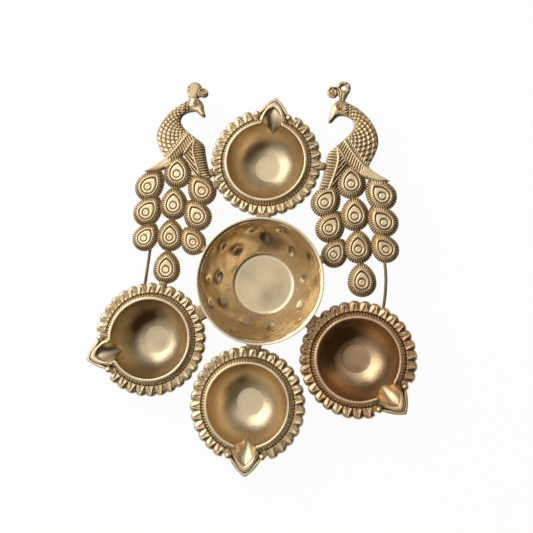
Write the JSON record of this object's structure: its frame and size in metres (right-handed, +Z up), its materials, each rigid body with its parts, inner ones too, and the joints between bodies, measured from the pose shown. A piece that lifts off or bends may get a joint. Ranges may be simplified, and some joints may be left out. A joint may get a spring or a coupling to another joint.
{
  "type": "aarti lamp",
  "caption": "Flat brass aarti lamp: a hammered centre bowl ringed by petalled oil lamps with wick spouts, beside two cast peacocks with eyed trains.",
  "frame": {"origin": "centre of the centre bowl's flat underside", "axes": "+Z up, out of the bowls' mouths; +Y towards the peacocks' heads; +X to the right as seen from above"},
  "size_m": [0.2162, 0.2639, 0.0302],
  "materials": {
    "bowl_brass": "spun and hammered, antique satin",
    "diya_brass": "pressed, antique satin with dark recesses",
    "peacock_brass": "cast, antique satin with dark recesses",
    "join_brass": "brazed, dull",
    "wire_brass": "drawn wire, dull"
  },
  "bodies": {
    "root": {"bottom_bowl_tab": "join_brass", "bottom_diya": "diya_brass", "centre_bowl": "bowl_brass", "left_bowl_lug": "join_brass", "left_bowl_tab": "join_brass", "left_diya": "diya_brass", "left_feather_lug": "join_brass", "left_leg_lug": "join_brass", "left_peacock": "peacock_brass", "left_stay_wire": "wire_brass", "left_tail_lug": "join_brass", "right_bowl_lug": "join_brass", "right_bowl_tab": "join_brass", "right_diya": "diya_brass", "right_leg_lug": "join_brass", "right_peacock": "peacock_brass", "right_stay_wire": "wire_brass", "top_bowl_tab": "join_brass", "top_diya": "diya_brass"}
  },
  "joints": []
}
